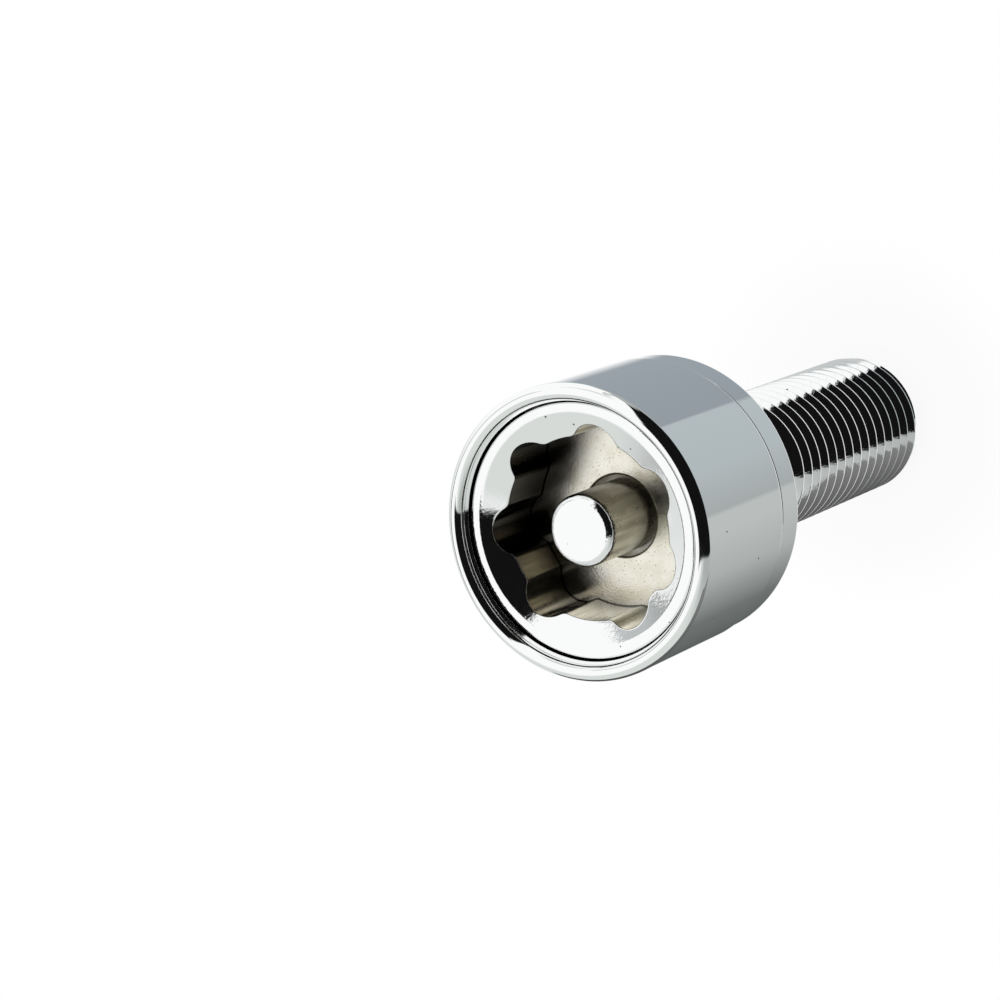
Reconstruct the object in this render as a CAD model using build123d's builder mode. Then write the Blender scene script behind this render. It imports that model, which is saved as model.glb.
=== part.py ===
# Locking wheel bolt with a free-spinning collar, M12 x 1.5, standing on its thread end with the head up.
# Millimetres. The origin is the middle of the flat thread end, and +Z runs up the bolt to the head.
import os
from math import acos, cos, radians, sin, tan

from build123d import *

# Shank, at the thread's outside diameter, and the tapered seat above it
thread_diameter = 12.0
tip_chamfer = 0.8
shank_length = 26.0
seat_angle = 60.0

# Neck between the thread and the seat, as deep as the thread
neck_depth = 0.9
neck_shoulder = 1.1

# Head core, which carries the collar, with a dished front face inside a flat lip
core_diameter = 20.0
core_length = 11.6
lip_width = 0.8
dish_angle = 25.0

# Collar that spins freely on the core
collar_clearance = 0.15
collar_wall = 1.45
collar_end_play = 0.08
collar_rear_chamfer = 0.25
rim_proud = 0.8
rim_outer_radius = 0.7
rim_inner_chamfer = 0.4
rim_relief = 0.15
rim_relief_depth = 1.0

# Flange below the collar, stepped in from the collar, with the seat stepped in from the flange
flange_thickness = 2.7
flange_step = 0.15
flange_chamfer = 0.4
seat_step = 0.95

# Locking socket: lobes round a plain circle, unevenly spaced so that a plain driver can't turn it
socket_depth = 6.25
lobe_wall = 1.65
lobe_height = 1.15
lobe_radius = 2.0
lobe_blend = 1.2
lobe_angles = (0, 52, 106, 157, 206, 272, 311)

# Pin that stands in the socket, with a relief cut round its root
pin_diameter = 5.7
pin_setback = 0.3
pin_chamfer = 0.5
relief_width = 0.4
relief_depth = 1.0

# Open spring ring that springs out into the collar's groove and keeps the collar on
ring_thickness = 1.0
ring_width = 1.0
ring_bite = 0.45
ring_gap_angle = 24.0
ring_clearance = 0.06
ring_height = 2.4

# Radii that follow
thread_radius = thread_diameter / 2
neck_radius = thread_radius - neck_depth
core_radius = core_diameter / 2
bore_radius = core_radius + collar_clearance
rim_bore_radius = bore_radius + rim_relief
collar_radius = bore_radius + collar_wall
flange_radius = collar_radius - flange_step
seat_radius = flange_radius - seat_step
lip_radius = core_radius - lip_width
lobe_reach = core_radius - lobe_wall
lobe_centre = lobe_reach - lobe_radius
socket_radius = lobe_reach - lobe_height
pin_radius = pin_diameter / 2
relief_radius = pin_radius + relief_width
ring_radius = bore_radius + ring_bite
core_groove_radius = bore_radius - ring_width - ring_clearance
collar_groove_radius = ring_radius + ring_clearance

# Heights that follow
seat_rise = (seat_radius - thread_radius) / tan(radians(seat_angle / 2))
neck_top = shank_length - neck_depth / tan(radians(seat_angle / 2))
thread_top = neck_top - neck_shoulder
flange_bottom = shank_length + seat_rise
flange_top = flange_bottom + flange_thickness
collar_bottom = flange_top + collar_end_play
ring_middle = flange_top + ring_height
groove_bottom = ring_middle - ring_thickness / 2 - ring_clearance
groove_top = ring_middle + ring_thickness / 2 + ring_clearance
core_top = flange_top + core_length
dish_bottom = core_top - core_radius * tan(radians(dish_angle))
lip_top = core_top - lip_width * tan(radians(dish_angle))
socket_floor = core_top - socket_depth
relief_floor = socket_floor - relief_depth
pin_top = core_top - pin_setback
rim_top = core_top + rim_proud
rim_relief_bottom = rim_top - rim_relief_depth

# The blend between lobes is held to what the narrowest land between two lobes has room for
lobe_half_angle = acos(
    (socket_radius**2 + lobe_centre**2 - lobe_radius**2) / (2 * socket_radius * lobe_centre)
)
land_corner_angle = acos(
    (socket_radius**2 + lobe_radius**2 - lobe_centre**2) / (2 * socket_radius * lobe_radius)
)
next_lobe_angles = lobe_angles[1:] + (lobe_angles[0] + 360,)
narrowest_pitch = min(after - angle for angle, after in zip(lobe_angles, next_lobe_angles))
narrowest_land = socket_radius * (radians(narrowest_pitch) - 2 * lobe_half_angle)
land_share = 0.45
land_blend = min(lobe_blend, land_share * narrowest_land / tan(land_corner_angle / 2))


def corner(sketch, radius, height):
    """The corner of a turned profile that stands at this radius and height."""
    return sketch.vertices().sort_by_distance(Vector(radius, height))[0]


# Bolt body: one forging, turned outside, with the locking socket and its pin formed in the head
with BuildPart() as bolt_body:
    with BuildSketch(Plane.XZ) as body_profile:
        with BuildLine():
            Polyline(
                (0, 0),
                (thread_radius - tip_chamfer, 0),
                (thread_radius, tip_chamfer),
                (thread_radius, thread_top),
                (neck_radius, neck_top),
                (seat_radius, flange_bottom),
                (flange_radius, flange_bottom),
                (flange_radius, flange_top),
                (core_radius, flange_top),
                (core_radius, groove_bottom),
                (core_groove_radius, groove_bottom),
                (core_groove_radius, groove_top),
                (core_radius, groove_top),
                (core_radius, lip_top),
                (lip_radius, lip_top),
                (0, dish_bottom),
                close=True,
            )
        make_face()
        chamfer(corner(body_profile, flange_radius, flange_bottom), length=flange_chamfer)
    revolve(axis=Axis.Z)

    # Locking socket, with straight walls down to a flat floor
    with BuildSketch(Plane.XY.offset(socket_floor)) as socket_outline:
        Circle(socket_radius)
        for angle in lobe_angles:
            with Locations((lobe_centre * cos(radians(angle)), lobe_centre * sin(radians(angle)))):
                Circle(lobe_radius)
        fillet(socket_outline.vertices(), radius=land_blend)
    extrude(amount=socket_depth, mode=Mode.SUBTRACT)

    # Relief cut into the floor, and the pin that stands in it
    with BuildSketch(Plane.XY.offset(relief_floor)):
        Circle(relief_radius)
    extrude(amount=relief_depth, mode=Mode.SUBTRACT)
    with BuildSketch(Plane.XY.offset(relief_floor)):
        Circle(pin_radius)
    extrude(amount=pin_top - relief_floor)
    pin_end = bolt_body.faces().filter_by(Axis.Z).filter_by_position(Axis.Z, pin_top, pin_top)
    chamfer(pin_end.edges(), length=pin_chamfer)
bolt_body.part.label = "bolt_body"

# Spinning collar: a sleeve with a round rim at the front and a groove inside for the spring ring
with BuildPart() as spinning_collar:
    with BuildSketch(Plane.XZ) as collar_profile:
        with BuildLine():
            Polyline(
                (bore_radius, collar_bottom),
                (collar_radius, collar_bottom),
                (collar_radius, rim_top),
                (rim_bore_radius, rim_top),
                (rim_bore_radius, rim_relief_bottom),
                (bore_radius, rim_relief_bottom),
                (bore_radius, groove_top),
                (collar_groove_radius, groove_top),
                (collar_groove_radius, groove_bottom),
                (bore_radius, groove_bottom),
                close=True,
            )
        make_face()
        chamfer(corner(collar_profile, collar_radius, collar_bottom), length=collar_rear_chamfer)
        fillet(corner(collar_profile, collar_radius, rim_top), radius=rim_outer_radius)
        chamfer(corner(collar_profile, rim_bore_radius, rim_top), length=rim_inner_chamfer)
    revolve(axis=Axis.Z)
spinning_collar.part.label = "spinning_collar"

# Retaining ring: square spring wire, open by a gap so that it can be squeezed into the core's groove
with BuildPart() as retaining_ring:
    with BuildSketch(Plane.XZ):
        with Locations((ring_radius - ring_width / 2, ring_middle)):
            Rectangle(ring_width, ring_thickness)
    revolve(axis=Axis.Z, revolution_arc=360 - ring_gap_angle)
retaining_ring.part.label = "retaining_ring"

os.makedirs("parts", exist_ok=True)
export_step(bolt_body.part, "parts/bolt_body.step")
export_step(spinning_collar.part, "parts/spinning_collar.step")
export_step(retaining_ring.part, "parts/retaining_ring.step")
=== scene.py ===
import math

import bmesh
import bpy
from bpy.props import FloatProperty, FloatVectorProperty, IntProperty, PointerProperty
from mathutils import Matrix, Vector


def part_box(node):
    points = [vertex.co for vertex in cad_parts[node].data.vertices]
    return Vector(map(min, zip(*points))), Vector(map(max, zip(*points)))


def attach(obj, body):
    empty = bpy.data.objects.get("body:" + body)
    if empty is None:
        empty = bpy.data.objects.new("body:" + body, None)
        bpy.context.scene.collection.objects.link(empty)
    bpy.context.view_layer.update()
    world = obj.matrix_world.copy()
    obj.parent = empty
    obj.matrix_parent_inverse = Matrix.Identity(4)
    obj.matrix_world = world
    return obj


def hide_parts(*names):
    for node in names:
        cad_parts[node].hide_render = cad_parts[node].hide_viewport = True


bl_info = {
    "name": "Locking Wheel Bolt",
    "version": (1, 0, 0),
    "blender": (4, 5, 0),
    "location": "View3D > Sidebar > Wheel Bolt",
    "description": "Models the plated locking wheel bolt and its spinning collar on the packed frame",
    "category": "Object",
}

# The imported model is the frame: every size below is in metres, in the frame's own axes
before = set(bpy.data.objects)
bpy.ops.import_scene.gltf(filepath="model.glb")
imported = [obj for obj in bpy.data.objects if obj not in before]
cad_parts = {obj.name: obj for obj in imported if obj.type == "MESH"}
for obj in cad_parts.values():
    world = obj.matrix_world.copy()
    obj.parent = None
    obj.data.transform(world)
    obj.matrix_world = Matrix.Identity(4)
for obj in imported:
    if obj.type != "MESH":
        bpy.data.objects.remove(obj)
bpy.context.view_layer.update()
bolt_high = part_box("bolt_body")[1]
collar_low, collar_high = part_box("spinning_collar")
mm = 0.001

# Corners closer than this are one corner
weld_distance = 0.002 * mm

# The corners of an open ring lie within this height of each other
ring_spread = 0.5 * mm

# Plain faces begin this far from a rounding, and round the socket's mouth a rounding counts this many times
support_gap = 0.03 * mm
mouth_spread = 2.5

# A turn is spun as one share, which is then doubled this many times
turn_doublings = 4

# Steps round the floor and the cards that go all the way round, and round a card that doesn't
stage_steps = 96
card_steps = 48

# Material slots of the forged bolt
chrome_slot, floor_slot, wall_slot, pin_slot, end_slot = range(5)

# Directions of the socket's lobes round the axis, in degrees
lobe_angles = (0, 52, 106, 157, 206, 272, 311)

# Direction across the socket to the side where shade is painted dark on the walls and the floor, and
# distances that way, from the side painted lighter as lit to the painted shade
shaded_side = (-0.574, 0.819, 0.0)
lit_until = -3 * mm
mid_tone_from = 1 * mm
shade_from = 3 * mm
wall_shade_full = 7.5 * mm
floor_shade_full = 7 * mm

# Heights from the socket's floor between which the shade painted deep on the walls and the pin's side fades
# out
shade_deepest_height = -0.5 * mm
shade_end_height = 5 * mm

# Parts of soft noise's range that a pattern reads: nearly all of it, all but its low end, and its middle
wide_spread = (0.3, 0.7)
upper_spread = (0.35, 0.7)
middle_spread = (0.35, 0.65)

# Least and greatest roughness of each finish, and how much the walls' and the pin's varies each way
chrome_roughness = (0.03, 0.07)
floor_roughness = (0.20, 0.26)
wire_roughness = (0.3, 0.5)
roughness_spread = 0.2

# Shares of a finish's tone that are left in its darker places
speckle_shade = 0.5
streak_shade = 0.75
wire_shade = 0.55

# Share of the floor's tone that the painted shade takes over on the socket's shaded side
floor_shade_share = 0.85

# Share of a pit's radius that is fully dark, and the depth of coarse grain as a share of the fine grain's
pit_core = 0.6
coarse_grain = 0.4

# One pitch of the thread's section: places along the axis and depths, both as shares of the pitch
thread_section = (
    (0.040, 0.000),
    (0.091, 0.050),
    (0.374, 0.540),
    (0.430, 0.600),
    (0.500, 0.613),
    (0.570, 0.600),
    (0.626, 0.540),
    (0.909, 0.050),
    (0.960, 0.000),
)

# Tones of the cards round the bolt, by angle round the axis in degrees
card_tones = (
    (0, (0.45, 0.50, 0.515)),
    (41, (0.47, 0.52, 0.54)),
    (42, (0.31, 0.345, 0.38)),
    (120, (0.33, 0.375, 0.41)),
    (126, (0.55, 0.58, 0.60)),
    (140, (1.0, 1.0, 1.0)),
    (194, (1.0, 1.0, 1.0)),
    (200, (0.10, 0.11, 0.11)),
    (247, (0.16, 0.175, 0.17)),
    (271, (0.30, 0.32, 0.315)),
    (287, (0.42, 0.44, 0.435)),
    (318, (0.51, 0.535, 0.53)),
    (330, (0.51, 0.535, 0.53)),
    (331, (0.39, 0.42, 0.42)),
    (359, (0.45, 0.495, 0.51)),
)

shank_card_tones = (
    (208, (0.07, 0.07, 0.07)),
    (240, (0.09, 0.09, 0.09)),
    (270, (0.145, 0.145, 0.145)),
    (298, (0.22, 0.22, 0.22)),
)

# Directions of the two ends of the white card beside the shank, in degrees
shank_light_ends = (66, 112)

rim_strip_tones = (
    (115, (0.55, 0.57, 0.57)),
    (142, (0.50, 0.52, 0.52)),
    (150, (0.34, 0.35, 0.35)),
    (158, (0.10, 0.10, 0.10)),
    (168, (0.20, 0.20, 0.20)),
    (176, (0.36, 0.37, 0.37)),
    (184, (0.62, 0.64, 0.63)),
    (190, (0.70, 0.73, 0.71)),
)

# Direction in degrees at which the strip beside the rim stands at its own height
rim_strip_level = 175

# Edges in the tent's cloth, in degrees across or up the picture: where each begins and where it is complete
white_height = (0, 26)
softbox_left = (-124, -94)
softbox_right = (-25, -15)
softbox_foot = (-38, -28)
grey_side_left = (-18, 30)
grey_side_foot = (-75, -30)
shade_left = (-134, -116)
shade_right = (-51, -33)
shade_foot = (34, 48)
opening_left = (-42, -40)
opening_right = (116, 118)
opening_foot = (-30, -28)
opening_top = (73, 77)

# The opening's foot bows up to its sides. Its left edge leans in above one height and steps out lower down
opening_bow = 0.0016
opening_lean = 0.52
lean_foot = 6.0
opening_step = 9.0
step_height = (-6, 8)


def length(name, description, default):
    """A property that holds a length in metres."""
    return FloatProperty(
        name=name, description=description, default=default, min=0.0, unit="LENGTH", precision=5
    )


def share_of(name, description, default):
    """A property that holds a share from 0 to 1."""
    return FloatProperty(
        name=name, description=description, default=default, min=0.0, max=1.0, subtype="FACTOR"
    )


def colour(name, description, default):
    """A property that holds a colour."""
    return FloatVectorProperty(
        name=name, description=description, default=default, min=0.0, max=1.0, size=3, subtype="COLOR"
    )


class ShankSizes(bpy.types.PropertyGroup):
    """Sizes of the threaded shank and of the tapered seat above it"""

    thread_diameter: length("Thread diameter", "Outside diameter of the thread", 12 * mm)
    thread_pitch: length("Thread pitch", "Distance from one crest to the next", 1.5 * mm)
    thread_start: length("Thread start", "Height of a crest on the +X side", 0.204 * mm)
    thread_top: length("Thread top", "Height at which the neck begins to narrow", 23.341 * mm)
    neck_top: length("Neck top", "Height of the neck's narrowest place, where the seat begins", 24.441 * mm)
    neck_radius: length("Neck radius", "Radius of the neck where it is narrowest", 5.1 * mm)
    tip_chamfer: length("Tip chamfer", "Width of the chamfer at the thread end", 0.8 * mm)
    seat_radius: length("Seat radius", "Radius of the tapered seat where it meets the flange", 10.5 * mm)


class HeadSizes(bpy.types.PropertyGroup):
    """Sizes of the flange, the core that carries the collar, and the socket in its face"""

    flange_radius: length("Flange radius", "Outside radius of the flange", bolt_high.x)
    flange_bottom: length("Flange bottom", "Height of the flange's lower face", 33.794 * mm)
    flange_top: length("Flange top", "Height of the flange's upper face", 36.494 * mm)
    flange_round: length("Flange round", "Rounding of the flange's lower edge", 0.4 * mm)
    core_radius: length("Core radius", "Outside radius of the core", 10 * mm)
    core_top: length("Core top", "Height at which the dished face would meet the core's side", 48.094 * mm)
    groove_radius: length("Groove radius", "Radius of the floor of the ring's groove", 9.09 * mm)
    groove_bottom: length("Groove bottom", "Height of the lower wall of the ring's groove", 38.334 * mm)
    groove_top: length("Groove top", "Height of the upper wall of the ring's groove", 39.454 * mm)
    lip_width: length("Lip width", "Width of the flat lip round the dished face", 0.8 * mm)
    lip_round: length("Lip round", "Rounding of the lip's outer edge", 0.18 * mm)
    lip_blend: length("Lip blend", "Rounding between the lip and the dished face", 0.2 * mm)
    dish_angle: FloatProperty(
        name="Dish angle", description="Slope of the dished face", default=math.radians(25), subtype="ANGLE"
    )
    dish_inner: length("Dish inner radius", "Radius of the plain part of the dished face", 8.7 * mm)
    lobe_reach: length("Lobe reach", "Distance from the axis to the end of a lobe", 8.35 * mm)
    lobe_radius: length("Lobe radius", "Radius of a lobe", 2 * mm)
    lobe_blend: length("Lobe blend", "Radius of the blend beside a lobe", 0.85 * mm)
    socket_radius: length("Socket radius", "Radius of the socket between its lobes", 7.2 * mm)
    socket_floor: length("Socket floor", "Height of the socket's floor", 41.844 * mm)
    relief_radius: length("Relief radius", "Radius of the cut round the pin's root", 3.25 * mm)
    relief_floor: length("Relief floor", "Height of the floor of the cut round the pin", 40.844 * mm)
    pin_radius: length("Pin radius", "Radius of the pin", 2.85 * mm)
    pin_top: length("Pin top", "Height of the pin's end", 47.794 * mm)
    pin_round: length("Pin round", "Rounding of the pin's end", 0.6 * mm)
    relief_round: length("Relief round", "Rounding of the edge of the cut round the pin", 0.2 * mm)
    edge_round: length("Edge round", "Rounding of the socket's mouth", 0.06 * mm)


class CollarSizes(bpy.types.PropertyGroup):
    """Sizes of the spinning collar"""

    outer_radius: length("Outer radius", "Outside radius of the collar", collar_high.x)
    bore_radius: length("Bore radius", "Radius of the collar's bore", 10.15 * mm)
    rim_bore_radius: length("Rim bore radius", "Radius of the relieved bore behind the rim", 10.3 * mm)
    groove_radius: length("Groove radius", "Radius of the floor of the ring's groove", 10.66 * mm)
    bottom: length("Bottom", "Height of the collar's lower end", collar_low.z)
    top: length("Top", "Height of the rim", collar_high.z)
    relief_bottom: length("Relief bottom", "Height at which the relieved bore begins", 47.894 * mm)
    rim_outer_round: length("Rim outer round", "Rounding of the rim's outside", 0.66 * mm)
    rim_inner_round: length("Rim inner round", "Rounding of the rim's inside", 0.6 * mm)
    rear_round: length("Rear round", "Rounding of the collar's lower edge", 0.4 * mm)


class Finishes(bpy.types.PropertyGroup):
    """Colours of the plating and the spring wire, with the light and shade painted in the socket, and the
    depth and roughness of their grain
    """

    chrome: colour("Chrome", "Bright plating outside", (0.95, 0.955, 0.955))
    nickel: colour("Nickel", "Satin plating on the socket's floor", (0.80, 0.77, 0.66))
    pale_nickel: colour("Pale nickel", "Lighter clouds in the satin plating", (0.94, 0.92, 0.82))
    # Middle tone of the walls, between the side painted lighter as lit and the side painted dark as shade
    middle_wall_tone: colour("Thin nickel", "Thin, dull plating on the socket's walls", (0.50, 0.452, 0.365))
    # Wall tone painted lighter, as lit, on one side of the socket
    lit_wall_tone: colour("Wall nickel", "Plating on the thick side of the socket", (0.95, 0.92, 0.82))
    # Near-black painted as shade on the other side of the socket
    wall_shade_tone: colour("Bare wall", "Dark steel on the bare side of the socket", (0.045, 0.039, 0.032))
    pin_nickel: colour("Pin nickel", "Dull plating on the pin's side", (0.56, 0.525, 0.44))
    pit: colour("Pit", "Small pits in the plating", (0.10, 0.10, 0.10))
    spring_wire: colour("Spring wire", "Oiled spring steel of the hidden ring", (0.42, 0.40, 0.38))
    bolt_grain: length("Bolt grain", "Depth of the grain in the bolt's chrome", 0.0045 * mm)
    pin_grain: length("Pin grain", "Depth of the grain in the pin's end", 0.013 * mm)
    collar_grain: length("Collar grain", "Depth of the grain in the collar's chrome", 0.00025 * mm)
    floor_grain: length("Floor grain", "Depth of the grain on the socket's floor", 0.011 * mm)
    streak_depth: length("Streak depth", "Depth of the streaks on the walls and the pin", 0.003 * mm)
    wire_grain: length("Wire grain", "Depth of the lines on the spring wire", 0.004 * mm)
    # Shares of the walls' and the pin's tone left at the floor, where shade is painted deep down
    wall_deep_shade: share_of("Deep walls", "Share of the walls' tone that is left at the floor", 0.2)
    pin_deep_shade: share_of("Deep pin", "Share of the pin's tone that is left at the floor", 0.45)
    wall_roughness: share_of("Wall roughness", "Roughness of the socket's walls", 0.14)
    pin_roughness: share_of("Pin roughness", "Roughness of the pin's side", 0.32)


class StageSizes(bpy.types.PropertyGroup):
    """Places of the camera, the floor and the cards that the plating mirrors"""

    camera_place: FloatVectorProperty(
        name="Camera place", description="Where the camera stands", size=3, subtype="TRANSLATION",
        unit="LENGTH", default=(0.12486, -0.01384, 0.2311),
    )
    camera_aim: FloatVectorProperty(
        name="Camera aim", description="Direction that the camera looks in", size=3, subtype="DIRECTION",
        default=(-0.5770, 0.0842, -0.8124),
    )
    camera_up: FloatVectorProperty(
        name="Camera up", description="Direction that is up in the picture", size=3, subtype="DIRECTION",
        default=(0.4084, 0.8911, -0.1977),
    )
    camera_lens: FloatProperty(
        name="Camera lens", description="Focal length in millimetres", default=105.15, unit="CAMERA"
    )
    floor_radius: length("Floor radius", "Radius of the floor disc", 20 * mm)
    shadow_inner: length("Shadow inner radius", "Radius up to which the shadow is full", 11 * mm)
    shadow_outer: length("Shadow outer radius", "Radius from which there is no shadow", 19 * mm)
    shadow_glow: share_of("Shadow glow", "Share of white in the floor where the shadow is full", 0.8)
    foot_low: length("Card foot radius", "Radius at which the cards on the floor begin", 6.5 * mm)
    foot_gap: length("Card foot gap", "Height of the cards above the floor", 0.1 * mm)
    foot_dark: length("Card foot dark radius", "Radius up to which those cards are dark", 8 * mm)
    foot_light: length("Card foot light radius", "Radius from which those cards are light", 11 * mm)
    foot_lift: share_of("Card foot lift", "How much lighter the light ones are", 0.7)
    tent_radius: length("Tent radius", "Radius of the tent that the plating mirrors", 1.0)
    wall_radius: length("Wall radius", "Radius of the wall of cards below the floor", 55 * mm)
    shank_card_radius: length("Shank card radius", "Radius of the cards beside the shank", 45 * mm)
    shank_card_height: length("Shank card height", "Height of the dark card beside the shank", 47 * mm)
    shank_light_low: length("Shank light foot", "Height of the foot of the white card", 24 * mm)
    shank_light_high: length("Shank light top", "Height of the top of the white card", 64 * mm)
    rim_strip_radius: length("Rim strip radius", "Radius of the grey strip beside the rim", 60 * mm)
    rim_strip_width: length("Rim strip width", "Width of the grey strip beside the rim", 14 * mm)
    rim_strip_lift: length("Rim strip lift", "Height of the strip's middle above the rim", 17 * mm)
    rim_strip_climb: length("Rim strip climb", "How far the strip sinks in each degree", 0.5 * mm)
    wall_low: FloatProperty(
        name="Wall foot", description="Height of the foot of the wall of cards", default=-110 * mm,
        unit="LENGTH",
    )
    wall_high: FloatProperty(
        name="Wall top", description="Height of the top of the wall of cards", default=-6 * mm,
        unit="LENGTH",
    )


class WheelBolt(bpy.types.PropertyGroup):
    """All the settings of the wheel bolt"""

    shank: PointerProperty(type=ShankSizes)
    head: PointerProperty(type=HeadSizes)
    collar: PointerProperty(type=CollarSizes)
    finish: PointerProperty(type=Finishes)
    stage: PointerProperty(type=StageSizes)
    segments: IntProperty(
        name="Segments", description="Steps round each turned surface", default=320, min=32
    )


def turned_section(points, segments, rise=0.0, closed=False):
    """A new bmesh of (radius, height) points turned once round the axis, climbing by this rise in a turn.

    One share of the turn is spun, and copies of it double round the axis."""
    bm = bmesh.new()
    corners = [bm.verts.new((radius, 0, height)) for radius, height in points]
    edges = [bm.edges.new(pair) for pair in zip(corners, corners[1:])]
    if closed:
        edges.append(bm.edges.new((corners[-1], corners[0])))
    share = 2 * math.pi / 2**turn_doublings
    bmesh.ops.spin(
        bm, geom=corners + edges, cent=(0, 0, 0), axis=(0, 0, 1), angle=share,
        steps=segments // 2**turn_doublings, dvec=(0, 0, rise / segments),
    )
    for doubling in range(turn_doublings):
        copied = bmesh.ops.duplicate(bm, geom=bm.verts[:] + bm.edges[:] + bm.faces[:])["geom"]
        corners = [part for part in copied if isinstance(part, bmesh.types.BMVert)]
        turn = Matrix.Rotation(share * 2**doubling, 3, "Z")
        bmesh.ops.rotate(bm, verts=corners, cent=(0, 0, 0), matrix=turn)
        bmesh.ops.translate(bm, verts=corners, vec=(0, 0, rise * 2**doubling / 2**turn_doublings))
    bmesh.ops.remove_doubles(bm, verts=bm.verts, dist=weld_distance)
    return bm


def join(bm, other):
    """Adds another bmesh to this one and welds their shared rings."""
    carrier = bpy.data.meshes.new("carrier")
    other.to_mesh(carrier)
    other.free()
    bm.from_mesh(carrier)
    bpy.data.meshes.remove(carrier)
    bmesh.ops.remove_doubles(bm, verts=bm.verts, dist=weld_distance)


def ring_edges(bm, radius, height):
    """The edges of the ring that stands at this radius and height."""
    def on_ring(corner):
        off_radius = abs(math.hypot(corner.co.x, corner.co.y) - radius)
        return off_radius < weld_distance and abs(corner.co.z - height) < weld_distance

    found = [edge for edge in bm.edges if on_ring(edge.verts[0]) and on_ring(edge.verts[1])]
    if not found:
        raise RuntimeError(f"no ring of edges at radius {radius:.6f} and height {height:.6f}")
    return found


def open_ring(bm, height):
    """The open boundary whose corners are nearest to this height."""
    boundary = [edge for edge in bm.edges if edge.is_boundary]
    nearest = min(abs(edge.verts[0].co.z - height) for edge in boundary)
    return [edge for edge in boundary if abs(edge.verts[0].co.z - height) < nearest + ring_spread]


def next_ring(bm, ring, place, material):
    """Extrudes an open ring, with each corner at the radius and height that place gives for its angle."""
    faces_before = set(bm.faces)
    made = bmesh.ops.extrude_edge_only(bm, edges=ring)["geom"]
    corners = {part for part in made if isinstance(part, bmesh.types.BMVert)}
    for corner in corners:
        angle = math.atan2(corner.co.y, corner.co.x)
        radius, height = place(angle)
        corner.co = (radius * math.cos(angle), radius * math.sin(angle), height)
    for face in set(bm.faces) - faces_before:
        face.material_index = material
    return [
        part for part in made
        if isinstance(part, bmesh.types.BMEdge) and part.verts[0] in corners and part.verts[1] in corners
    ]


def round_edges(bm, edges, width, segments):
    """Rounds edges with a bevel."""
    bmesh.ops.bevel(
        bm, geom=edges, offset=width, offset_type="OFFSET", affect="EDGES", segments=segments, profile=0.5,
        material=-1, clamp_overlap=False,
    )


def finish_mesh(bm, name, materials, sharp_angle=math.radians(32)):
    """Makes an object of a bmesh, smooth but for its sharp edges."""
    bmesh.ops.recalc_face_normals(bm, faces=bm.faces)
    for face in bm.faces:
        face.smooth = True
    for edge in bm.edges:
        edge.smooth = len(edge.link_faces) == 2 and edge.calc_face_angle(0.0) < sharp_angle
    mesh = bpy.data.meshes.new(name)
    bm.to_mesh(mesh)
    bm.free()
    for material in materials:
        mesh.materials.append(material)
    piece = bpy.data.objects.new(name, mesh)
    bpy.context.scene.collection.objects.link(piece)
    return piece


def threaded_shank(shank, segments):
    """The threaded shank, from the chamfered end up to the neck's narrowest ring."""
    outer = shank.thread_diameter / 2
    turns = math.ceil(shank.neck_top / shank.thread_pitch) + 2
    section = []
    for turn in range(-2, turns):
        for place, depth in thread_section:
            height = shank.thread_start + (turn + place) * shank.thread_pitch
            section.append((outer - depth * shank.thread_pitch, height))
    bm = turned_section(section, segments, rise=shank.thread_pitch)

    # The chamfer cuts the crests at the end and the neck cuts them at the top. What lies past either end is
    # squeezed into it, where the weld takes it out
    for corner in bm.verts:
        height = min(max(corner.co.z, 0.0), shank.neck_top)
        radius = math.hypot(corner.co.x, corner.co.y)
        narrowed = (height - shank.thread_top) / (shank.neck_top - shank.thread_top)
        neck_limit = outer - narrowed * (outer - shank.neck_radius)
        chamfer_limit = outer - shank.tip_chamfer + height
        wanted = min(radius, outer, chamfer_limit, neck_limit)
        if height == 0.0:
            wanted = chamfer_limit
        if height == shank.neck_top:
            wanted = shank.neck_radius
        corner.co = (corner.co.x * wanted / radius, corner.co.y * wanted / radius, height)
    bmesh.ops.remove_doubles(bm, verts=bm.verts, dist=weld_distance)
    return bm


def lobed_reach(head):
    """A function that gives the distance from the axis to the socket's wall in a direction."""
    centre = head.lobe_reach - head.lobe_radius
    blend_centre = head.socket_radius + head.lobe_blend
    blend_gap = head.lobe_radius + head.lobe_blend
    blend_turn = math.acos((centre**2 + blend_centre**2 - blend_gap**2) / (2 * centre * blend_centre))
    share = head.lobe_radius / blend_gap
    touch_x = centre + share * (blend_centre * math.cos(blend_turn) - centre)
    touch_y = share * blend_centre * math.sin(blend_turn)
    touch_turn = math.atan2(touch_y, touch_x)

    def reach(angle):
        longest = head.socket_radius
        for lobe_angle in lobe_angles:
            turn = abs(math.remainder(angle - math.radians(lobe_angle), 2 * math.pi))
            if turn < touch_turn:
                across = centre * math.sin(turn)
                depth = math.sqrt(head.lobe_radius**2 - across**2)
                longest = max(longest, centre * math.cos(turn) + depth)
            elif turn < blend_turn:
                across = blend_centre * math.sin(blend_turn - turn)
                depth = math.sqrt(head.lobe_blend**2 - across**2)
                longest = max(longest, blend_centre * math.cos(blend_turn - turn) - depth)
        return longest

    return reach


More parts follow.
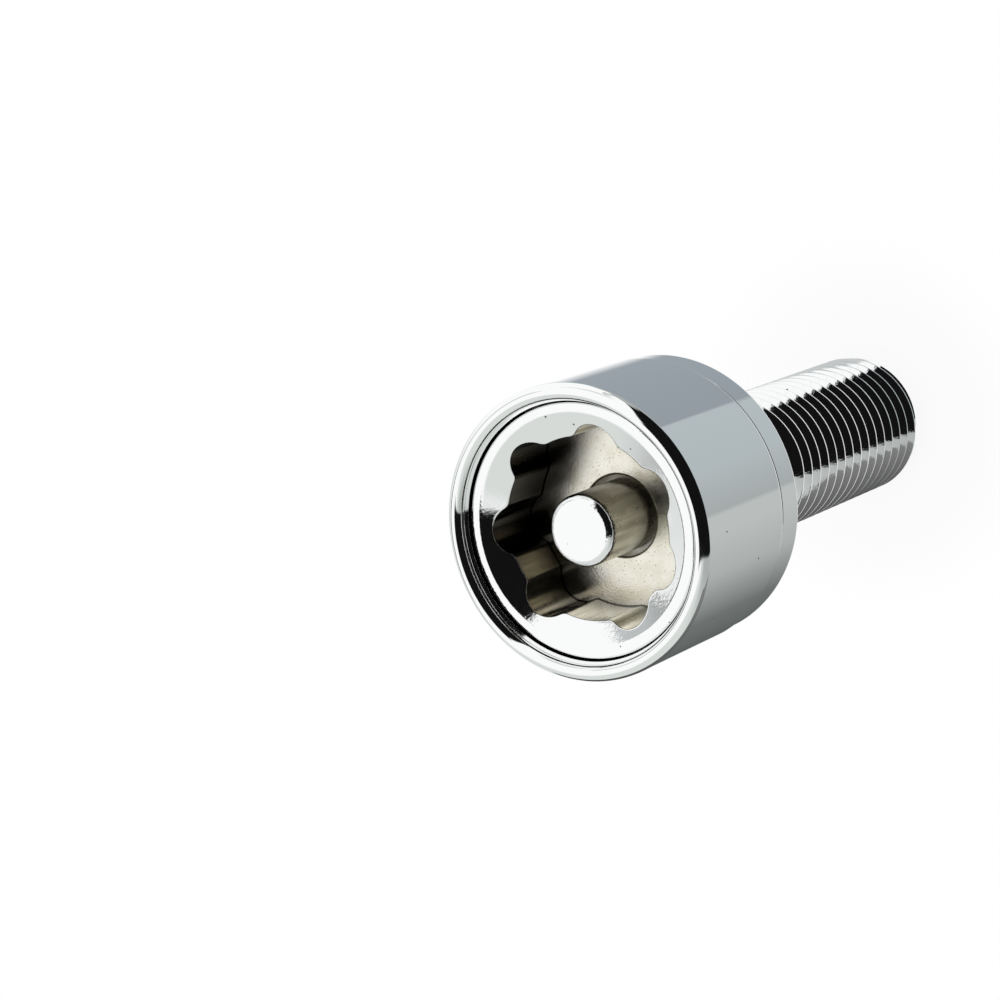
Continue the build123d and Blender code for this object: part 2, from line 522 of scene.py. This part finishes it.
def turned_head(shank, head, segments):
    """The seat, flange and core, turned from one section that starts at the neck.

    A ring stands close to each rounding, so that the rounding doesn't bend the light on the plain faces."""
    below = head.flange_round + support_gap
    lip = head.lip_round + support_gap
    blend_gap = head.lip_blend + support_gap
    slope = math.tan(head.dish_angle)
    lip_radius = head.core_radius - head.lip_width
    lip_top = head.core_top - head.lip_width * slope
    section = (
        (shank.neck_radius, shank.neck_top),
        (shank.seat_radius, head.flange_bottom),
        (head.flange_radius - below, head.flange_bottom),
        (head.flange_radius, head.flange_bottom),
        (head.flange_radius, head.flange_bottom + below),
        (head.flange_radius, head.flange_top),
        (head.core_radius, head.flange_top),
        (head.core_radius, head.groove_bottom),
        (head.groove_radius, head.groove_bottom),
        (head.groove_radius, head.groove_top),
        (head.core_radius, head.groove_top),
        (head.core_radius, lip_top - lip),
        (head.core_radius, lip_top),
        (head.core_radius - lip, lip_top),
        (lip_radius + blend_gap, lip_top),
        (lip_radius, lip_top),
        (lip_radius - blend_gap, lip_top - blend_gap * slope),
        (head.dish_inner, head.core_top - (head.core_radius - head.dish_inner) * slope),
    )
    bm = turned_section(section, segments)
    bmesh.ops.recalc_face_normals(bm, faces=bm.faces)
    flange_edge = ring_edges(bm, head.flange_radius, head.flange_bottom)
    round_edges(bm, flange_edge, head.flange_round, segments=5)
    round_edges(bm, ring_edges(bm, head.core_radius, lip_top), head.lip_round, segments=6)
    round_edges(bm, ring_edges(bm, lip_radius, lip_top), head.lip_blend, segments=4)
    return bm


def add_socket(bm, head):
    """The lobed socket, cut down from the dished face, and the pin that stands in it."""
    reach = lobed_reach(head)
    slope = math.tan(head.dish_angle)
    beside = head.edge_round + support_gap
    around = mouth_spread * head.edge_round + support_gap
    relief_beside = head.relief_round + support_gap
    pin_beside = head.pin_round + support_gap

    def dish(radius):
        return radius, head.core_top - (head.core_radius - radius) * slope

    def mouth_height(angle):
        return dish(reach(angle))[1]

    ring = open_ring(bm, dish(head.dish_inner)[1])
    ring = next_ring(bm, ring, lambda angle: dish(reach(angle) + around), chrome_slot)
    mouth = next_ring(bm, ring, lambda angle: dish(reach(angle)), chrome_slot)
    ring = next_ring(bm, mouth, lambda angle: (reach(angle), mouth_height(angle) - beside), wall_slot)
    ring = next_ring(bm, ring, lambda angle: (reach(angle), head.socket_floor + beside), wall_slot)
    foot = next_ring(bm, ring, lambda angle: (reach(angle), head.socket_floor), wall_slot)
    # The floor's strip beside the walls' foot takes the walls' plating, whose painted shade makes a dark line
    # in the corner
    ring = next_ring(bm, foot, lambda angle: (reach(angle) - beside, head.socket_floor), wall_slot)
    relief_outer = head.relief_radius + relief_beside
    relief_side = head.socket_floor - relief_beside
    ring = next_ring(bm, ring, lambda angle: (relief_outer, head.socket_floor), floor_slot)
    relief_edge = next_ring(bm, ring, lambda angle: (head.relief_radius, head.socket_floor), floor_slot)
    ring = next_ring(bm, relief_edge, lambda angle: (head.relief_radius, relief_side), floor_slot)
    ring = next_ring(bm, ring, lambda angle: (head.relief_radius, head.relief_floor), floor_slot)
    ring = next_ring(bm, ring, lambda angle: (head.pin_radius, head.relief_floor), pin_slot)
    ring = next_ring(bm, ring, lambda angle: (head.pin_radius, head.pin_top - pin_beside), pin_slot)
    pin_edge = next_ring(bm, ring, lambda angle: (head.pin_radius, head.pin_top), end_slot)
    ring = next_ring(bm, pin_edge, lambda angle: (head.pin_radius - pin_beside, head.pin_top), end_slot)
    for face in bmesh.ops.edgeloop_fill(bm, edges=ring)["faces"]:
        face.material_index = end_slot
    bmesh.ops.recalc_face_normals(bm, faces=bm.faces)
    round_edges(bm, mouth, head.edge_round, segments=3)
    round_edges(bm, relief_edge, head.relief_round, segments=4)
    round_edges(bm, pin_edge, head.pin_round, segments=7)


def add_node(material, kind, inputs=None, **settings):
    """Adds a node to a material with these settings, and with a number or a node's output on each input."""
    made = material.node_tree.nodes.new(kind)
    for name, value in settings.items():
        setattr(made, name, value)
    for name, value in (inputs or {}).items():
        if isinstance(value, bpy.types.NodeSocket):
            material.node_tree.links.new(value, made.inputs[name])
        else:
            made.inputs[name].default_value = value
    return made


def new_metal(name):
    """A material with a metal shader, and the place on the piece that its patterns read."""
    material = bpy.data.materials.new(name)
    material.use_nodes = True
    shader = material.node_tree.nodes["Principled BSDF"]
    shader.inputs["Metallic"].default_value = 1.0
    place = add_node(material, "ShaderNodeTexCoord").outputs["Object"]
    return material, shader, place


def ranged(material, value, low, high, to_low=0.0, to_high=1.0):
    """A value moved smoothly from one range to another and held at its ends."""
    ends = {"From Min": low, "From Max": high, "To Min": to_low, "To Max": to_high}
    made = add_node(
        material, "ShaderNodeMapRange", {"Value": value, **ends}, interpolation_type="SMOOTHSTEP"
    )
    return made.outputs["Result"]


def sums(material, operation, first, second):
    """One sum on two values."""
    made = add_node(material, "ShaderNodeMath", {0: first, 1: second}, operation=operation)
    return made.outputs["Value"]


def distance(material, place):
    """How far a place is from the middle of its object."""
    made = add_node(material, "ShaderNodeVectorMath", {0: place}, operation="LENGTH")
    return made.outputs["Value"]


def noise(material, place, size, detail=2.0):
    """Soft noise with features of this size."""
    made = add_node(material, "ShaderNodeTexNoise", {"Vector": place, "Scale": 1 / size, "Detail": detail})
    return made.outputs["Fac"]


def pits(material, place, spacing, radius, share):
    """One at small round pits, about this far apart, where only a share of the places has a pit."""
    cells = add_node(material, "ShaderNodeTexVoronoi", {"Vector": place, "Scale": 1 / spacing})
    edge = radius / spacing
    near = ranged(material, cells.outputs["Distance"], pit_core * edge, edge, to_low=1.0, to_high=0.0)
    picked = add_node(material, "ShaderNodeSeparateColor", {"Color": cells.outputs["Color"]})
    chosen = sums(material, "LESS_THAN", picked.outputs["Red"], share)
    return sums(material, "MULTIPLY", near, chosen)


def blend(material, factor, first, second, mode="MIX"):
    """A colour between two others, or one colour worked on by another."""
    inputs = {"Factor": factor, 6: first, 7: second}
    made = add_node(material, "ShaderNodeMix", inputs, data_type="RGBA", blend_type=mode)
    return made.outputs[2]


def relief(material, heights):
    """A normal bumped by several heights, each with its depth in metres."""
    normal = None
    for height, depth in heights:
        inputs = {"Height": height, "Distance": depth, "Strength": 1.0}
        if normal is not None:
            inputs["Normal"] = normal
        normal = add_node(material, "ShaderNodeBump", inputs).outputs["Normal"]
    return normal


def polished_chrome(name, finish, grain_depth):
    """Bright plating: mirror-like over a faint grain, with sparse pits that the plating has not filled."""
    material, shader, place = new_metal(name)
    link = material.node_tree.links.new
    mapping = {"Vector": place, "Rotation": (0.1, 0.0, 0.0), "Scale": (1.0, 1.0, 0.22)}
    stretched = add_node(material, "ShaderNodeMapping", mapping).outputs["Vector"]
    scratched = pits(material, stretched, spacing=1.5 * mm, radius=0.07 * mm, share=0.14)
    pitted = pits(material, place, spacing=1.7 * mm, radius=0.11 * mm, share=0.18)
    pitted = sums(material, "MAXIMUM", pitted, scratched)
    link(blend(material, pitted, (*finish.chrome, 1.0), (*finish.pit, 1.0)), shader.inputs["Base Color"])
    cloud = noise(material, place, size=2.5 * mm)
    link(ranged(material, cloud, *upper_spread, *chrome_roughness), shader.inputs["Roughness"])
    heights = (
        (noise(material, place, size=0.6 * mm), coarse_grain * grain_depth),
        (noise(material, place, size=0.2 * mm, detail=3.0), grain_depth),
    )
    link(relief(material, heights), shader.inputs["Normal"])
    return material


def towards_shaded_side(material, place):
    """Distance from the axis towards the side of the socket where shade is painted."""
    made = add_node(material, "ShaderNodeVectorMath", {0: place, 1: shaded_side}, operation="DOT_PRODUCT")
    return made.outputs["Value"]


def satin_nickel(name, finish):
    """Warm satin plating on the socket's floor, grainy and pitted, with shade painted dark towards the
    socket's shaded side.
    """
    material, shader, place = new_metal(name)
    link = material.node_tree.links.new
    cloud = noise(material, place, size=1.3 * mm, detail=4.0)
    turned = add_node(material, "ShaderNodeMapping", {"Vector": place, "Rotation": (0.7, 0.5, 0.3)})
    grain = noise(material, turned.outputs["Vector"], size=0.14 * mm, detail=4.0)
    pale = ranged(material, cloud, *middle_spread)
    tone = blend(material, pale, (*finish.nickel, 1.0), (*finish.pale_nickel, 1.0))
    dull = tuple(speckle_shade * part for part in finish.nickel)
    speckled = pits(material, place, spacing=0.26 * mm, radius=0.06 * mm, share=0.4)
    tone = blend(material, speckled, tone, (*dull, 1.0))
    # Shade painted dark across the floor towards the shaded side
    side = towards_shaded_side(material, place)
    side_shade = ranged(material, side, shade_from, floor_shade_full, to_high=floor_shade_share)
    tone = blend(material, side_shade, tone, (*finish.wall_shade_tone, 1.0))
    pitted = pits(material, place, spacing=0.9 * mm, radius=0.08 * mm, share=0.22)
    link(blend(material, pitted, tone, (*finish.pit, 1.0)), shader.inputs["Base Color"])
    link(ranged(material, cloud, *wide_spread, *floor_roughness), shader.inputs["Roughness"])
    link(relief(material, ((grain, finish.floor_grain),)), shader.inputs["Normal"])
    return material


def streaked_nickel(name, finish, plating, deep_shade_share, roughness, head):
    """Dull plating on the socket's walls and the pin's side, streaked along the axis, with shade painted
    darker deep down.

    It is painted lighter, as lit, on one side of the socket, and painted dark, as shade, on the other."""
    material, shader, place = new_metal(name)
    link = material.node_tree.links.new
    stretched = add_node(material, "ShaderNodeMapping", {"Vector": place, "Scale": (1.0, 1.0, 0.06)})
    streak = noise(material, stretched.outputs["Vector"], size=0.45 * mm, detail=3.0)
    cloud = noise(material, place, size=1.6 * mm, detail=3.0)
    # Painted light on the socket's lit side, then a middle tone, then painted shade on its other side
    side = towards_shaded_side(material, place)
    lit_fade = ranged(material, side, lit_until, mid_tone_from)
    tone = blend(material, lit_fade, (*finish.lit_wall_tone, 1.0), (*plating, 1.0))
    side_shade = ranged(material, side, shade_from, wall_shade_full)
    tone = blend(material, side_shade, tone, (*finish.wall_shade_tone, 1.0))
    # Painted shade: darker towards the socket's floor
    height = add_node(material, "ShaderNodeSeparateXYZ", {"Vector": place}).outputs["Z"]
    shade_deepest = head.socket_floor + shade_deepest_height
    shade_end = head.socket_floor + shade_end_height
    shallow = ranged(material, height, shade_deepest, shade_end)
    shade = ranged(material, streak, *middle_spread, to_low=streak_shade)
    shade = sums(material, "SUBTRACT", shade, deep_shade_share)
    shade = sums(material, "ADD", sums(material, "MULTIPLY", shade, shallow), deep_shade_share)
    link(blend(material, 1.0, tone, shade, mode="MULTIPLY"), shader.inputs["Base Color"])
    smoothest = (1 - roughness_spread) * roughness
    roughest = (1 + roughness_spread) * roughness
    link(ranged(material, cloud, *wide_spread, smoothest, roughest), shader.inputs["Roughness"])
    link(relief(material, ((streak, finish.streak_depth),)), shader.inputs["Normal"])
    return material


def oiled_wire(name, finish):
    """Drawn spring steel, dark with oil, with fine lines round the ring."""
    material, shader, place = new_metal(name)
    link = material.node_tree.links.new
    flattened = add_node(material, "ShaderNodeMapping", {"Vector": place, "Scale": (0.1, 0.1, 1.0)})
    lines = noise(material, flattened.outputs["Vector"], size=0.08 * mm, detail=3.0)
    cloud = noise(material, place, size=1.5 * mm, detail=3.0)
    dark = tuple(wire_shade * part for part in finish.spring_wire)
    oiled = ranged(material, cloud, *upper_spread)
    tone = blend(material, oiled, (*finish.spring_wire, 1.0), (*dark, 1.0))
    link(tone, shader.inputs["Base Color"])
    link(ranged(material, cloud, *wide_spread, *wire_roughness), shader.inputs["Roughness"])
    link(relief(material, ((lines, finish.wire_grain),)), shader.inputs["Normal"])
    return material


def glowing(name):
    """A stage material that only glows: the material, its glow's colour input and the place on the object."""
    material = bpy.data.materials.new(name)
    material.use_nodes = True
    material.cycles.emission_sampling = "NONE"
    tree = material.node_tree
    tree.nodes.remove(tree.nodes["Principled BSDF"])
    glow = add_node(material, "ShaderNodeEmission")
    tree.links.new(glow.outputs["Emission"], tree.nodes["Material Output"].inputs["Surface"])
    place = add_node(material, "ShaderNodeTexCoord").outputs["Object"]
    return material, glow.inputs["Color"], place


def tent_cloth():
    """The tent's cloth by direction in the picture: pale to white, with a grey side and a black opening."""
    material, glow, place = glowing("tent_cloth")
    aim = add_node(material, "ShaderNodeVectorMath", {0: place}, operation="NORMALIZE").outputs["Vector"]
    parts = add_node(material, "ShaderNodeSeparateXYZ", {"Vector": aim})
    radians_across = sums(material, "ARCTAN2", parts.outputs["X"], parts.outputs["Z"])
    radians_up = add_node(material, "ShaderNodeMath", {0: parts.outputs["Y"]}, operation="ARCSINE")
    across = sums(material, "MULTIPLY", radians_across, math.degrees(1))
    height = sums(material, "MULTIPLY", radians_up.outputs["Value"], math.degrees(1))

    def rise(value, edge):
        return ranged(material, value, *edge)

    def fall(value, edge):
        return ranged(material, value, *edge, to_low=1.0, to_high=0.0)

    def overlap(shared, *others):
        for other in others:
            shared = sums(material, "MULTIPLY", shared, other)
        return shared

    white = (1.0, 1.0, 1.0, 1.0)
    pale = (0.70, 0.73, 0.71, 1.0)
    grey = (0.42, 0.44, 0.43, 1.0)
    shaded = (0.58, 0.60, 0.60, 1.0)
    black = (0.006, 0.006, 0.006, 1.0)
    tone = blend(material, rise(height, white_height), pale, white)
    softbox = overlap(rise(across, softbox_left), fall(across, softbox_right), rise(height, softbox_foot))
    tone = blend(material, softbox, tone, white)
    grey_side = overlap(rise(across, grey_side_left), rise(height, grey_side_foot))
    tone = blend(material, grey_side, tone, grey)
    shade = overlap(rise(across, shade_left), fall(across, shade_right), rise(height, shade_foot))
    tone = blend(material, shade, tone, shaded)
    bow = sums(material, "MULTIPLY", sums(material, "MULTIPLY", across, across), opening_bow)
    bowed = sums(material, "SUBTRACT", height, bow)
    above = sums(material, "MAXIMUM", sums(material, "SUBTRACT", height, lean_foot), 0.0)
    lean = sums(material, "MULTIPLY", above, opening_lean)
    step = ranged(material, height, *step_height, to_low=opening_step, to_high=0.0)
    leaned = sums(material, "ADD", sums(material, "SUBTRACT", across, lean), step)
    opening = overlap(rise(leaned, opening_left), fall(across, opening_right))
    opening = overlap(opening, rise(bowed, opening_foot), fall(height, opening_top))
    tone = blend(material, opening, tone, black)
    material.node_tree.links.new(tone, glow)
    return material


def tone_round_bolt(material, place, tones):
    """A tone that changes with the angle round the bolt."""
    half_turn = add_node(material, "ShaderNodeMapping", {"Vector": place, "Rotation": (0.0, 0.0, math.pi)})
    angle = add_node(
        material, "ShaderNodeTexGradient", {"Vector": half_turn.outputs["Vector"]}, gradient_type="RADIAL"
    )
    ramp = add_node(material, "ShaderNodeValToRGB", {"Fac": angle.outputs["Fac"]})
    stops = ramp.color_ramp.elements
    stops.remove(stops[0])
    stops[0].position = tones[0][0] / 360
    stops[0].color = (*tones[0][1], 1.0)
    for degrees, tone in tones[1:]:
        stops.new(degrees / 360).color = (*tone, 1.0)
    return ramp.outputs["Color"]


def wall_cards(name, tones):
    """Cards that glow by their angle round the bolt, for the plating to mirror."""
    material, glow, place = glowing(name)
    material.node_tree.links.new(tone_round_bolt(material, place, tones), glow)
    return material


def foot_cards(name, tones, stage):
    """Cards on the floor that glow by their angle round the bolt, and are lighter away from it."""
    material, glow, place = glowing(name)
    tone = tone_round_bolt(material, place, tones)
    reach = distance(material, place)
    light = ranged(material, reach, stage.foot_dark, stage.foot_light, to_high=stage.foot_lift)
    material.node_tree.links.new(blend(material, light, tone, (1.0, 1.0, 1.0, 1.0)), glow)
    return material


def card_ends(tones):
    """The directions of a card's two ends, in degrees."""
    return tones[0][0], tones[-1][0]


def card_arc(radius, low, high, ends):
    """A curved card round the axis, between two directions in degrees."""
    bm = bmesh.new()
    start = math.radians(ends[0])
    stop = math.radians(ends[1])
    end = (radius * math.cos(start), radius * math.sin(start))
    corners = [bm.verts.new((*end, height)) for height in (low, high)]
    edge = bm.edges.new(corners)
    bmesh.ops.spin(
        bm, geom=corners + [edge], cent=(0, 0, 0), axis=(0, 0, 1), angle=stop - start, steps=card_steps
    )
    return bm


def floor_card(stage):
    """A pale floor that is white to the camera and in the plating, and takes a faint shadow."""
    material, glow, place = glowing("pale_floor")
    glow.default_value = (1, 1, 1, 1)
    tree = material.node_tree
    matt = add_node(material, "ShaderNodeBsdfDiffuse", {"Color": (1.0, 1.0, 1.0, 1.0)})
    path = add_node(material, "ShaderNodeLightPath")
    seen = sums(material, "MAXIMUM", path.outputs["Is Camera Ray"], path.outputs["Is Glossy Ray"])
    seen = sums(material, "MAXIMUM", seen, path.outputs["Is Transmission Ray"])
    reach = distance(material, place)
    clear = ranged(material, reach, stage.shadow_inner, stage.shadow_outer, to_low=stage.shadow_glow)
    share = sums(material, "MULTIPLY", seen, clear)
    inputs = {"Fac": share, 1: matt.outputs["BSDF"], 2: glow.node.outputs["Emission"]}
    mix = add_node(material, "ShaderNodeMixShader", inputs)
    tree.links.new(mix.outputs["Shader"], tree.nodes["Material Output"].inputs["Surface"])
    return material


def picture_axes(stage):
    """The picture's right, its up and the way back to the camera, as the columns of a matrix."""
    back = -Vector(stage.camera_aim).normalized()
    right = Vector(stage.camera_up).cross(back).normalized()
    return Matrix((right, back.cross(right), back)).transposed()


class WHEELBOLT_OT_bolt(bpy.types.Operator):
    """Model the forged bolt with its thread, seat, flange and lobed socket"""

    bl_idname = "wheelbolt.bolt"
    bl_label = "Forged bolt"

    def execute(self, context):
        settings = context.scene.wheel_bolt
        finish = settings.finish
        head = settings.head
        chrome = polished_chrome("bolt_chrome", finish, finish.bolt_grain)
        floor = satin_nickel("socket_floor", finish)
        wall = streaked_nickel(
            "socket_wall", finish, finish.middle_wall_tone, finish.wall_deep_shade, finish.wall_roughness, head
        )
        pin_side = streaked_nickel(
            "pin_side", finish, finish.pin_nickel, finish.pin_deep_shade, finish.pin_roughness, head
        )
        pin_end = polished_chrome("pin_chrome", finish, finish.pin_grain)
        bm = turned_head(settings.shank, head, settings.segments)
        add_socket(bm, head)
        join(bm, threaded_shank(settings.shank, settings.segments))
        bmesh.ops.edgeloop_fill(bm, edges=open_ring(bm, 0.0))
        piece = finish_mesh(bm, "forged_bolt", (chrome, floor, wall, pin_side, pin_end))
        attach(piece, "bolt")
        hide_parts("bolt_body")
        return {"FINISHED"}


class WHEELBOLT_OT_collar(bpy.types.Operator):
    """Model the collar that spins on the bolt's core"""

    bl_idname = "wheelbolt.collar"
    bl_label = "Spinning collar"

    def execute(self, context):
        settings = context.scene.wheel_bolt
        collar = settings.collar
        head = settings.head
        chrome = polished_chrome("collar_chrome", settings.finish, settings.finish.collar_grain)
        outside = collar.rim_outer_round + support_gap
        inside = collar.rim_inner_round + support_gap
        rear = collar.rear_round + support_gap
        section = (
            (collar.bore_radius, collar.bottom),
            (collar.outer_radius - rear, collar.bottom),
            (collar.outer_radius, collar.bottom),
            (collar.outer_radius, collar.bottom + rear),
            (collar.outer_radius, collar.top - outside),
            (collar.outer_radius, collar.top),
            (collar.rim_bore_radius, collar.top),
            (collar.rim_bore_radius, collar.top - inside),
            (collar.rim_bore_radius, collar.relief_bottom),
            (collar.bore_radius, collar.relief_bottom),
            (collar.bore_radius, head.groove_top),
            (collar.groove_radius, head.groove_top),
            (collar.groove_radius, head.groove_bottom),
            (collar.bore_radius, head.groove_bottom),
        )
        bm = turned_section(section, settings.segments, closed=True)
        bmesh.ops.recalc_face_normals(bm, faces=bm.faces)
        rim_outside = ring_edges(bm, collar.outer_radius, collar.top)
        round_edges(bm, rim_outside, collar.rim_outer_round, segments=10)
        rim_inside = ring_edges(bm, collar.rim_bore_radius, collar.top)
        round_edges(bm, rim_inside, collar.rim_inner_round, segments=10)
        rear_edge = ring_edges(bm, collar.outer_radius, collar.bottom)
        round_edges(bm, rear_edge, collar.rear_round, segments=4)
        piece = finish_mesh(bm, "plated_collar", (chrome,))
        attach(piece, "collar")
        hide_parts("spinning_collar")
        return {"FINISHED"}


class WHEELBOLT_OT_ring(bpy.types.Operator):
    """Give the hidden retaining ring its spring steel"""

    bl_idname = "wheelbolt.ring"
    bl_label = "Retaining ring"

    def execute(self, context):
        settings = context.scene.wheel_bolt
        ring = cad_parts["retaining_ring"]
        ring.data.materials.clear()
        ring.data.materials.append(oiled_wire("oiled_wire", settings.finish))
        return {"FINISHED"}


class WHEELBOLT_OT_stage(bpy.types.Operator):
    """Set up the floor, the light and the camera"""

    bl_idname = "wheelbolt.stage"
    bl_label = "Studio"

    def execute(self, context):
        stage = context.scene.wheel_bolt.stage
        world = bpy.data.worlds.new("white_studio")
        world.use_nodes = True
        world.node_tree.nodes["Background"].inputs["Color"].default_value = (1, 1, 1, 1)
        world.cycles.sampling_method = "NONE"
        context.scene.world = world

        bm = bmesh.new()
        bmesh.ops.create_circle(bm, cap_ends=True, segments=stage_steps, radius=stage.floor_radius)
        floor = finish_mesh(bm, "floor", (floor_card(stage),))

        # The tent and the cards are there for the plating to mirror, and nothing else sees them
        bm = bmesh.new()
        bmesh.ops.create_uvsphere(bm, u_segments=64, v_segments=32, radius=stage.tent_radius)
        tent = finish_mesh(bm, "tent", (tent_cloth(),))
        tent.matrix_world = picture_axes(stage).to_4x4()
        wall_section = ((stage.wall_radius, stage.wall_low), (stage.wall_radius, stage.wall_high))
        bm = turned_section(wall_section, stage_steps)
        wall = finish_mesh(bm, "card_wall", (wall_cards("barrel_cards", card_tones),))
        bm = card_arc(stage.shank_card_radius, 0.0, stage.shank_card_height, card_ends(shank_card_tones))
        shank_card = finish_mesh(bm, "shank_card", (wall_cards("shank_card", shank_card_tones),))
        white, glow, _ = glowing("white_card")
        glow.default_value = (1.0, 1.0, 1.0, 1.0)
        bm = card_arc(
            stage.shank_card_radius, stage.shank_light_low, stage.shank_light_high, shank_light_ends
        )
        shank_light = finish_mesh(bm, "shank_light", (white,))
        bm = card_arc(stage.rim_strip_radius, 0.0, stage.rim_strip_width, card_ends(rim_strip_tones))
        strip_foot = collar_high.z + stage.rim_strip_lift - stage.rim_strip_width / 2
        for corner in bm.verts:
            turn = math.degrees(math.atan2(corner.co.y, corner.co.x)) % 360
            corner.co.z += strip_foot + (rim_strip_level - turn) * stage.rim_strip_climb
        rim_strip = finish_mesh(bm, "rim_strip", (wall_cards("rim_strip", rim_strip_tones),))

        # Cards lie on the floor too, in lighter tones, for the thread's crests
        foot_section = ((stage.foot_low, stage.foot_gap), (stage.floor_radius, stage.foot_gap))
        bm = turned_section(foot_section, stage_steps)
        foot = finish_mesh(bm, "card_foot", (foot_cards("foot_cards", card_tones, stage),))

        for card in (tent, wall, shank_card, shank_light, rim_strip, foot):
            card.visible_camera = False
            card.visible_diffuse = False
            card.visible_shadow = False

        camera_data = bpy.data.cameras.new("camera")
        camera_data.lens = stage.camera_lens
        camera_data.sensor_width = 36.0
        camera_data.clip_start = 0.01
        camera = bpy.data.objects.new("camera", camera_data)
        context.scene.collection.objects.link(camera)
        turn = picture_axes(stage)
        camera.matrix_world = Matrix.Translation(Vector(stage.camera_place)) @ turn.to_4x4()
        context.scene.camera = camera
        context.scene.view_settings.view_transform = "Standard"
        return {"FINISHED"}


class WHEELBOLT_PT_panel(bpy.types.Panel):
    """The sidebar list of the bolt's pieces"""

    bl_idname = "WHEELBOLT_PT_panel"
    bl_label = "Wheel Bolt"
    bl_space_type = "VIEW_3D"
    bl_region_type = "UI"
    bl_category = "Wheel Bolt"

    def draw(self, context):
        for operator in operators:
            self.layout.operator(operator.bl_idname)


operators = (WHEELBOLT_OT_bolt, WHEELBOLT_OT_collar, WHEELBOLT_OT_ring, WHEELBOLT_OT_stage)
groups = (ShankSizes, HeadSizes, CollarSizes, Finishes, StageSizes, WheelBolt)
classes = (*groups, *operators, WHEELBOLT_PT_panel)


def register():
    for each in classes:
        bpy.utils.register_class(each)
    bpy.types.Scene.wheel_bolt = PointerProperty(type=WheelBolt)


def unregister():
    del bpy.types.Scene.wheel_bolt
    for each in reversed(classes):
        bpy.utils.unregister_class(each)


def main():
    register()
    bpy.ops.wheelbolt.bolt()
    bpy.ops.wheelbolt.collar()
    bpy.ops.wheelbolt.ring()
    bpy.ops.wheelbolt.stage()


if __name__ == "__main__":
    main()
